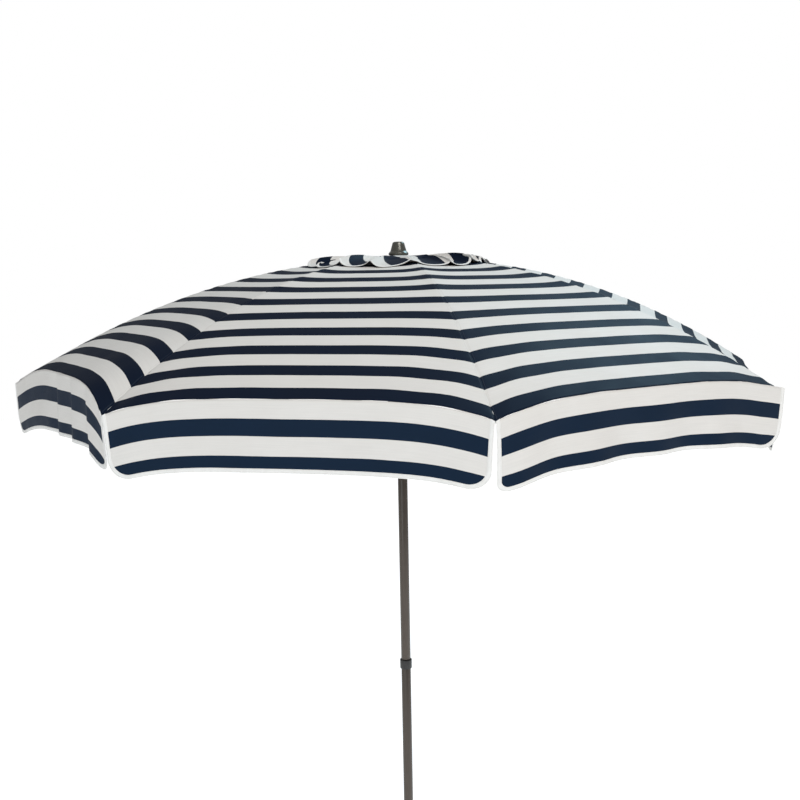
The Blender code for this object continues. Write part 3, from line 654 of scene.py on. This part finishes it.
def flapPoint(number, sideways, depth):
    outward, along = panelFrame(number)
    across = max(-1.0, min(1.0, sideways / hemHalf))
    share = max(0.0, depth) / flap["height"]
    sway = noise.noise(Vector((sideways * 3.4 + number * 7.9, share * 0.8, 2.0)))
    ripple = noise.noise(Vector((sideways * 9.0 + number * 3.1, share * 0.7, 9.0)))
    reach = flap["swing"].get(number, flap["usualSwing"])
    swing = reach * share ** 1.2 * (1.2 * sway + 0.75 * ripple + 0.15 * math.sin(number * 2.3))
    curl = flap["curl"] * share ** 2 * max(0.0, abs(across) - 0.86) / 0.14
    if number == flap["pleated"]:
        pleats = flap["pleats"] * across + flap["pleatShift"]
        place = pleats - math.floor(pleats)
        slow = flap["pleatSlow"]
        lean = place / slow if place < slow else (1 - place) / (1 - slow)
        start = min(1.0, max(0.0, (across + 0.135) / 0.25))
        swing += flap["pleatDepth"] * start * share ** 0.5 * (0.5 - lean * lean * (3 - 2 * lean))
    if number == flap["waved"]:
        curl += flap["endCurl"] * share ** 2 * max(0.0, -across - 0.90) / 0.10
        swing += flap["waveDepth"] * share ** 0.8 * math.sin(across * hemHalf * 30 + 0.7)
    low, high = flap["overhang"].get(number, (0.0, 0.0))
    sideways += high * max(0.0, across - 0.85) / 0.15 - low * max(0.0, -across - 0.85) / 0.15
    out = edgeApothem - flap["setBack"] + swing - curl
    height = panelHeight(number, edgeApothem, across) - canopy["belowLine"] - depth
    return outward * out + along * sideways + Vector((0, 0, height))


def flapNormal(number, sideways, depth):
    step = 0.0015
    alongSide = flapPoint(number, sideways + step, depth) - flapPoint(number, sideways - step, depth)
    above = flapPoint(number, sideways, max(0.0, depth - step))
    downward = flapPoint(number, sideways, depth + step) - above
    normal = downward.cross(alongSide).normalized()
    return normal if normal.dot(panelFrame(number)[0]) > 0 else -normal


def makeFlap(number):
    rows, columns = flap["rows"], flap["columns"]
    grid, clothUv = [], []
    for row in range(rows + 1):
        line = []
        for column in range(columns + 1):
            across = math.sin(math.pi / 2 * (2 * column / columns - 1))
            across = 0.35 * across + 0.65 * (2 * column / columns - 1) if abs(across) < 1 else across
            depth = flapBottom(number, across) * row / rows
            sideways = across * flapHalf(depth)
            line.append(flapPoint(number, sideways, depth))
            clothUv.append((sideways, depth))
        grid.append(line)
    piece = gridMesh(f"valanceFlap{number}", grid)
    paintUv(piece, "cloth", clothUv)
    faceUpward(piece, panelFrame(number)[0])
    area = clothArea(grid)
    giveThickness(piece, flap["cloth"])
    settle(piece, f"flap_{number}", finishes["flap"], "canopy_cloth", f"valance_{number}")
    return piece, area


def flapEdge(number, count=150):
    # down one side, round the bottom and up the other, as (sideways, depth)
    corners = flap["cornerRadius"].get(number, flap["usualCorner"])
    route = []
    sideSteps = 26
    for index in range(sideSteps):
        depth = (flap["height"] - corners[0]) * index / sideSteps
        route.append((-flapHalf(depth), depth))
    for index in range(count + 1):
        across = math.sin(math.pi / 2 * (2 * index / count - 1))
        depth = flapBottom(number, across)
        route.append((across * flapHalf(depth), depth))
    for index in range(sideSteps):
        depth = (flap["height"] - corners[1]) * (1 - (index + 1) / sideSteps)
        route.append((flapHalf(depth), depth))
    return route


def closeTape(piece):
    edges = bmesh.new()
    edges.from_mesh(piece.data)
    bmesh.ops.holes_fill(edges, edges=[edge for edge in edges.edges if edge.is_boundary], sides=0)
    bmesh.ops.recalc_face_normals(edges, faces=edges.faces)
    edges.to_mesh(piece.data)
    edges.free()
    smoothByAngle(piece, 60)


def tapeAround(name, route, pointAt, normalAt, width, half):
    # section of the folded tape: how far in from the edge, and how far off the cloth
    upper = [(width, half * 0.55), (width * 0.93, half * 0.95), (width * 0.25, half), (0.0, half * 1.05),
             (-0.0007, half * 0.6)]
    section = upper + [(-0.0009, 0.0)] + [(into, -off) for into, off in reversed(upper)]
    grid, uv, length = [], [], 0.0
    for index, (sideways, depth) in enumerate(route):
        before, after = route[max(0, index - 1)], route[min(len(route) - 1, index + 1)]
        run = Vector((after[0] - before[0], after[1] - before[1])).normalized()
        inward = Vector((run.y, -run.x))
        if index:
            length += (Vector(route[index]) - Vector(route[index - 1])).length
        line = []
        for into, off in section:
            x, y = sideways + inward.x * into, depth + inward.y * into
            line.append(pointAt(x, y) + normalAt(x, y) * off)
            uv.append((length, into))
        grid.append(line)
    piece = gridMesh(name, grid, wrap=True)
    paintUv(piece, "cloth", uv)
    closeTape(piece)
    return piece


def makeFlapTape(number):
    piece = tapeAround(
        f"flapBinding{number}", flapEdge(number),
        lambda x, y: flapPoint(number, x, y), lambda x, y: flapNormal(number, x, y),
        flap["tapeWidth"], flap["tapeHalf"])
    settle(piece, f"flap_{number}", finishes["tape"], "canopy_cloth")
    return piece


for number in range(1, ribCount + 1):
    cloth, area = makeFlap(number)
    tape = makeFlapTape(number)
    for piece in (cloth, tape):
        foldWith(piece)
say("valance flaps hung and bound")


ventCap = {
    "radius": 0.312,
    "narrow": 0.026,  # shorter by this to either side, where it sits tighter
    "narrowTurn": math.radians(-9.5),
    "lowTurn": math.radians(-101),  # the ruffles lie lower here
    "lower": 0.30,
    "lowWidth": 0.30,  # in radians
    "centre": 0.014,
    "flatTo": 0.060,  # the cap lies taut out to here
    "ruffle": 0.0225,
    "crest": 0.86,  # share of the way out where a ruffle stands highest
    "sway": 0.021,  # sideways swing of each lobe, which makes it lean over
    "lobes": 17,
    "rows": 26,
    "columns": 56,  # in each of the sectors
    "cloth": 0.0007,
    "clearance": 0.0022,
    "crownLift": 0.0045,  # above the canopy's own line at the middle
    "slack": 0.006,  # how far it sinks over the open vent
    "edgeSwing": 0.009,  # the rim moves in and out by this
    "tape": (0.0085, 0.0009),  # width and half thickness
    "foldKeep": 0.12,
}


def lobePhase(turn):
    # uneven lobes: the phase runs ahead and behind as it goes round
    uneven = 0.9 * math.sin(turn + 0.6) + 0.75 * math.sin(3 * turn + 2.1) + 0.4 * math.sin(5 * turn + 4.0)
    return ventCap["lobes"] * turn + uneven


def canopyUnder(radius, turn):
    # height of the stretched panels at a place, so that the cap can lie on them
    turn %= 2 * math.pi
    aside = turn % stepAngle - halfAngle
    number = int(turn // stepAngle) % ribCount + 1
    out = radius * math.cos(aside)
    return panelHeight(number, out, math.tan(aside) / math.tan(halfAngle))


def capPoint(radius, turn):
    share = max(0.0, (radius - ventCap["flatTo"]) / (ventCap["radius"] - ventCap["flatTo"]))
    phase = lobePhase(turn)
    size = 0.85 + 0.30 * math.sin(2 * turn + 1.0) * math.sin(3 * turn + 0.4)
    wave = max(0.0, 0.5 - 0.5 * math.cos(phase) + 0.08 * math.sin(2 * phase + 1.3) * share)
    fromLow = math.remainder(turn - ventCap["lowTurn"], 2 * math.pi)
    size *= 1 - ventCap["lower"] * math.exp(-(fromLow / ventCap["lowWidth"]) ** 2)
    climb = min(1.0, share / ventCap["crest"])
    droop = max(0.0, share - ventCap["crest"]) / (1 - ventCap["crest"])
    upright = 0.85 + 0.15 * math.sin(turn * 3 + 0.9) ** 2  # how far a lobe stays open at its rim
    stand = (climb * climb * (3 - 2 * climb)) * (1 - (1 - upright) * droop ** 1.4)
    rise = ventCap["ruffle"] * size * wave * stand
    grow = share ** 1.3
    lean = ventCap["sway"] * grow * math.sin(phase) * (0.75 + 0.35 * math.sin(4 * turn))
    shorter = ventCap["narrow"] * math.cos(turn - ventCap["narrowTurn"]) ** 2
    reach = radius - shorter * share + grow * ventCap["edgeSwing"] * math.cos(phase + 0.8)
    swung = turn + lean / max(radius, 0.05)
    if reach > canopy["ventApothem"]:
        below = canopyUnder(reach, swung)
    else:
        below = clothHeight(reach) - ventCap["slack"] * share
    height = below + ventCap["clearance"] + rise + ventCap["crownLift"] * (1 - share)
    return Vector((reach * math.cos(swung), reach * math.sin(swung), height))


def capNormal(radius, turn):
    step = 0.002
    outward = capPoint(radius + step, turn) - capPoint(radius - step, turn)
    around = capPoint(radius, turn + step / radius) - capPoint(radius, turn - step / radius)
    return outward.cross(around).normalized()


def makeCapSector(number):
    start = middleAngle(number) - halfAngle
    grid, uv = [], []
    for row in range(ventCap["rows"] + 1):
        share = row / ventCap["rows"]
        radius = ventCap["centre"] + (ventCap["radius"] - ventCap["centre"]) * share ** 0.9
        line = []
        for column in range(ventCap["columns"] + 1):
            turn = start + stepAngle * column / ventCap["columns"]
            line.append(capPoint(radius, turn))
            uv.append((radius * math.sin(turn), radius * math.cos(turn)))
        grid.append(line)
    piece = gridMesh(f"ventCapGore{number}", grid)
    paintUv(piece, "cloth", uv)
    faceUpward(piece, Vector((0, 0, 1)))
    area = clothArea(grid)
    giveThickness(piece, ventCap["cloth"])
    settle(piece, f"panel_{number}", finishes["cap"], "canopy_cloth", "vent_cap")
    return piece, area


def makeCapTape(number):
    start = middleAngle(number) - halfAngle
    steps = 90
    route = [(ventCap["radius"], start + stepAngle * index / steps) for index in range(steps + 1)]
    width, half = ventCap["tape"]
    upper = [(width, half * 0.6), (width * 0.9, half), (0.0, half * 1.05)]
    section = upper + [(-0.0008, 0.0)] + [(into, -off) for into, off in reversed(upper)]
    grid, uv, length = [], [], 0.0
    for index, (radius, turn) in enumerate(route):
        if index:
            length += (capPoint(radius, turn) - capPoint(radius, route[index - 1][1])).length
        line = []
        for into, off in section:
            line.append(capPoint(radius - into, turn) + capNormal(radius - into, turn) * off)
            uv.append((length, into))
        grid.append(line)
    piece = gridMesh(f"ventCapBinding{number}", grid, wrap=True)
    paintUv(piece, "cloth", uv)
    closeTape(piece)
    settle(piece, f"panel_{number}", finishes["tape"], "canopy_cloth")
    return piece


for number in range(1, ribCount + 1):
    gore, area = makeCapSector(number)
    binding = makeCapTape(number)
    for piece in (gore, binding):
        foldWith(piece)
say("vent cap ruffled")


def turnedPiece(name, outline, sides):
    # outline: (radius, height) from one end to the other; a radius of 0 closes the end
    deselectAll()
    first = next(point for point in outline if point[0] > 0)
    start = outline.index(first)
    bpy.ops.mesh.primitive_circle_add(
        vertices=sides, radius=first[0], fill_type="NOTHING", location=(0, 0, first[1]))
    piece = bpy.context.object
    piece.name = name
    bpy.ops.object.transform_apply(location=True, rotation=False, scale=False)
    bpy.ops.object.mode_set(mode="EDIT")
    bpy.ops.mesh.select_all(action="SELECT")
    last = first
    for radius, height in outline[start + 1:]:
        if radius == 0:
            bpy.ops.mesh.extrude_region_move(TRANSFORM_OT_translate={"value": (0, 0, height - last[1])})
            bpy.ops.mesh.merge(type="CENTER")
            break
        bpy.ops.mesh.extrude_region_move(TRANSFORM_OT_translate={"value": (0, 0, height - last[1])})
        grow = radius / last[0]
        bpy.ops.transform.resize(value=(grow, grow, 1), center_override=(0, 0, height))
        last = (radius, height)
    bpy.ops.object.mode_set(mode="OBJECT")
    if start > 0:
        closeEnd(piece, first, outline[0])
    bpy.ops.object.mode_set(mode="EDIT")
    bpy.ops.mesh.select_all(action="SELECT")
    bpy.ops.mesh.remove_doubles(threshold=0.00002)
    bpy.ops.mesh.normals_make_consistent(inside=False)
    bpy.ops.object.mode_set(mode="OBJECT")
    return piece


def closeEnd(piece, ring, tip):
    for vertex in piece.data.vertices:
        vertex.select = abs(vertex.co.z - ring[1]) < 1e-6 and abs(vertex.co.xy.length - ring[0]) < 1e-5
    for edge in piece.data.edges:
        edge.select = all(piece.data.vertices[index].select for index in edge.vertices)
    bpy.ops.object.mode_set(mode="EDIT")
    bpy.ops.mesh.extrude_region_move(TRANSFORM_OT_translate={"value": (0, 0, tip[1] - ring[1])})
    bpy.ops.mesh.merge(type="CENTER")
    bpy.ops.object.mode_set(mode="OBJECT")


def roundEdges(piece, width, segments=2, degrees=30):
    bevel = piece.modifiers.new("soften", "BEVEL")
    bevel.width = width
    bevel.segments = segments
    bevel.limit_method = "ANGLE"
    bevel.angle_limit = math.radians(degrees)
    bevel.use_clamp_overlap = True
    applyModifiers(piece)


def makeFinial():
    low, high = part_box("finial")
    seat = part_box("crown_washer")[1].z
    brim = high.x
    top = high.z
    outline = [
        (0.0, top), (0.0110, top - 0.0002), (0.0150, top - 0.0010), (0.0176, top - 0.0028),
        (0.0194, top - 0.0060), (0.0206, top - 0.0110), (0.0228, seat + 0.0245), (0.0246, seat + 0.0180),
        (0.0256, seat + 0.0142), (0.0256, seat + 0.0134), (0.0262, seat + 0.0128),
        (0.0280, seat + 0.0112), (brim - 0.0022, seat + 0.0088), (brim - 0.0006, seat + 0.0076),
        (brim, seat + 0.0062), (brim, seat + 0.0024), (brim - 0.0010, seat + 0.0002),
        (0.0060, seat + 0.0002), (0.0050, seat - 0.0002), (0.0050, low.z), (0.0, low.z)]
    piece = turnedPiece("finialBell", outline, 72)
    roundEdges(piece, 0.0004, 2, 25)
    smoothByAngle(piece, 40)
    settle(piece, "mast", finishes["finial"], "dark_plastic", "finial")


def polished(node, body, finishName, slotName, width=0.0004, degrees=35):
    # a CAD piece with its loose triangles joined, its corners rounded and a smooth surface
    source = bpy.data.objects[node]
    piece = source.copy()
    piece.data = source.data.copy()
    piece.name = node + "Finished"
    for key in list(piece.keys()):
        del piece[key]
    piece.parent = None
    piece.matrix_world = Matrix.Identity(4)
    bpy.context.scene.collection.objects.link(piece)
    piece.hide_render = piece.hide_viewport = False
    pickOnly(piece)
    bpy.ops.object.mode_set(mode="EDIT")
    bpy.ops.mesh.select_all(action="SELECT")
    bpy.ops.mesh.remove_doubles(threshold=0.00001)
    bpy.ops.mesh.dissolve_limited(angle_limit=math.radians(0.5))
    bpy.ops.object.mode_set(mode="OBJECT")
    if width:
        roundEdges(piece, width, 2, 40)
    smoothByAngle(piece, degrees)
    settle(piece, body, finishes[finishName], slotName, node)
    return piece


ribEnd = {
    "pocket": 0.0053,  # radius
    "back": 0.032,  # from the rib's tip towards the mast
    "front": 0.008,
    "tie": 0.0052,  # radius
    "tieHalf": 0.005,
    "ties": (0.34, 0.86),  # distance of the two ties from the mast
    "drop": 0.0073,  # a fitting's centre below the cloth
}


def alongRib(piece, number, radius):
    # from lying on the lathe's axis to lying along a rib, at that distance from the mast
    step = 0.004
    slope = (clothHeight(radius + step) - clothHeight(radius - step)) / (2 * step)
    turn = (number - 1) * stepAngle
    height = clothHeight(radius) - ribEnd["drop"]
    place = Matrix.Translation((radius * math.cos(turn), radius * math.sin(turn), height))
    lean = Matrix.Rotation(math.pi / 2 - math.atan(slope), 4, "Y")
    piece.data.transform(place @ Matrix.Rotation(turn, 4, "Z") @ lean)


def makeRibFittings():
    size = ribEnd["pocket"]
    front, back = ribEnd["front"], -ribEnd["back"]
    pocket = [
        (size * 0.60, back), (size * 0.82, back + 0.002), (size * 0.94, back + 0.012),
        (size, front - 0.010), (size * 0.97, front - 0.004), (size * 0.78, front - 0.001),
        (size * 0.4, front), (0.0, front)]
    wide, half = ribEnd["tie"], ribEnd["tieHalf"]
    tie = [(size * 0.78, -half), (wide, -half * 0.8), (wide, half * 0.8), (size * 0.78, half)]
    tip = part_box("rib_1")[1].x
    inner, outer = ribEnd["ties"]
    for number in range(1, ribCount + 1):
        for label, outline, radius in (
                ("ribPocket", pocket, tip), ("ribTieInner", tie, inner), ("ribTieOuter", tie, outer)):
            piece = turnedPiece(f"{label}{number}", outline, 20)
            around = [math.atan2(vertex.co.y, vertex.co.x) * size for vertex in piece.data.vertices]
            paintUv(piece, "cloth", [(x, vertex.co.z) for x, vertex in zip(around, piece.data.vertices)])
            alongRib(piece, number, radius)
            smoothByAngle(piece, 50)
            settle(piece, f"rib_{number}", finishes["tape"], "canopy_cloth")


makeRibFittings()
makeFinial()
hardware = {
    "bronze": ("bronze_pole", ["mast_tube", "upper_pole", "lower_pole"], 0.0003),
    "hub": ("hub_plastic", ["crown_hub", "runner_hub", "runner_sleeve", "runner_button"], 0.0005),
    "dark": ("dark_plastic", ["tilt_button", "pole_plug", "pole_collar", "base_liner", "base_knob"],
             0.0006),
    "zinc": ("zinc_steel", ["crown_ring", "crown_washer", "tilt_pin", "tilt_spring", "tilt_fork",
                            "tilt_tongue", "base_nut"], 0.0003),
    "iron": ("base_iron", ["base_weight", "base_socket"], 0.0008),
    "rubber": ("rubber", [f"base_foot_{number}" for number in range(1, 5)], 0.0008),
    "ribSteel": ("rib_steel", [f"{kind}_{number}" for kind in ("rib", "strut")
                               for number in range(1, ribCount + 1)], 0.0),
}
for finishName, (slotName, nodes, width) in hardware.items():
    for node in nodes:
        piece = polished(node, frame["nodes"][node]["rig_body"], finishName, slotName, width)
        if node == "tilt_spring":  # the spring gets a mesh of its own
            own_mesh(piece)
say("metal and plastic pieces finished")


studio = {
    "floor": 14.0,
    "skyForLight": 0.34,
    "camera": {"away": 3.3144, "heading": -99.55, "height": 2.2352, "turn": 0.0675, "down": 6.97,
               "roll": -1.06, "lens": 45.81},
    "lamps": [  # name, place, aim, size, power, colour
        ("keyLamp", (3.0, 1.9, 5.2), (0.4, -0.9, 2.0), 2.2, 96, (0.52, 0.84, 1.0)),
        ("overheadLamp", (0.8, -3.6, 6.0), (0, -0.4, 2.0), 3.0, 155, (1.0, 0.98, 0.96)),
        ("sideLamp", (-3.3, -4.4, 1.7), (-0.4, -1.1, 1.9), 1.6, 26, (0.72, 0.90, 1.0)),
    ],
}


def makeFloor():
    deselectAll()
    bpy.ops.mesh.primitive_plane_add(size=2 * studio["floor"], location=(0, 0, -0.001))
    floor = bpy.context.object
    floor.name = "studioFloor"
    material, _, shader = newMaterial("paleFloor")
    shader.inputs["Base Color"].default_value = (0.92, 0.92, 0.92, 1)
    shader.inputs["Roughness"].default_value = 0.9
    shader.inputs["Emission Color"].default_value = (1, 1, 1, 1)
    shader.inputs["Emission Strength"].default_value = 0.80
    floor.data.materials.append(material)


def makeSky():
    world = bpy.data.worlds.new("studioSky")
    bpy.context.scene.world = world
    world.use_nodes = True
    world.node_tree.nodes.clear()
    board = Board(world.node_tree)
    seen = board.add("ShaderNodeBackground")
    seen.inputs["Color"].default_value = (1, 1, 1, 1)
    felt = board.add("ShaderNodeBackground")
    felt.inputs["Color"].default_value = (0.97, 0.985, 1, 1)
    felt.inputs["Strength"].default_value = studio["skyForLight"]
    choose = board.add("ShaderNodeMixShader")
    board.join(board.add("ShaderNodeLightPath").outputs["Is Camera Ray"], choose.inputs[0])
    board.join(felt.outputs[0], choose.inputs[1])
    board.join(seen.outputs[0], choose.inputs[2])
    board.join(choose.outputs[0], board.add("ShaderNodeOutputWorld").inputs[0])


def makeLamps():
    for name, place, aim, size, power, colour in studio["lamps"]:
        light = bpy.data.lights.new(name, "AREA")
        light.shape = "DISK"
        light.size = size
        light.energy = power
        light.color = colour
        lamp = bpy.data.objects.new(name, light)
        bpy.context.scene.collection.objects.link(lamp)
        lamp.location = place
        lamp.rotation_euler = (Vector(aim) - Vector(place)).to_track_quat("-Z", "Y").to_euler()


def makeCamera():
    seat = studio["camera"]
    heading = math.radians(seat["heading"])
    data = bpy.data.cameras.new("viewCamera")
    data.lens = seat["lens"]
    data.sensor_width = 36
    camera = bpy.data.objects.new("viewCamera", data)
    bpy.context.scene.collection.objects.link(camera)
    place = Vector((seat["away"] * math.cos(heading), seat["away"] * math.sin(heading), seat["height"]))
    aimed = Matrix.Rotation(math.radians(seat["heading"] + 90 + seat["turn"]), 4, "Z")
    aimed = aimed @ Matrix.Rotation(math.radians(90 - seat["down"]), 4, "X")
    aimed = aimed @ Matrix.Rotation(math.radians(seat["roll"]), 4, "Z")
    camera.matrix_world = Matrix.Translation(place) @ aimed
    bpy.context.scene.camera = camera


makeFloor()
makeSky()
makeLamps()
makeCamera()
bpy.context.scene.view_settings.view_transform = "Standard"
say("studio ready")
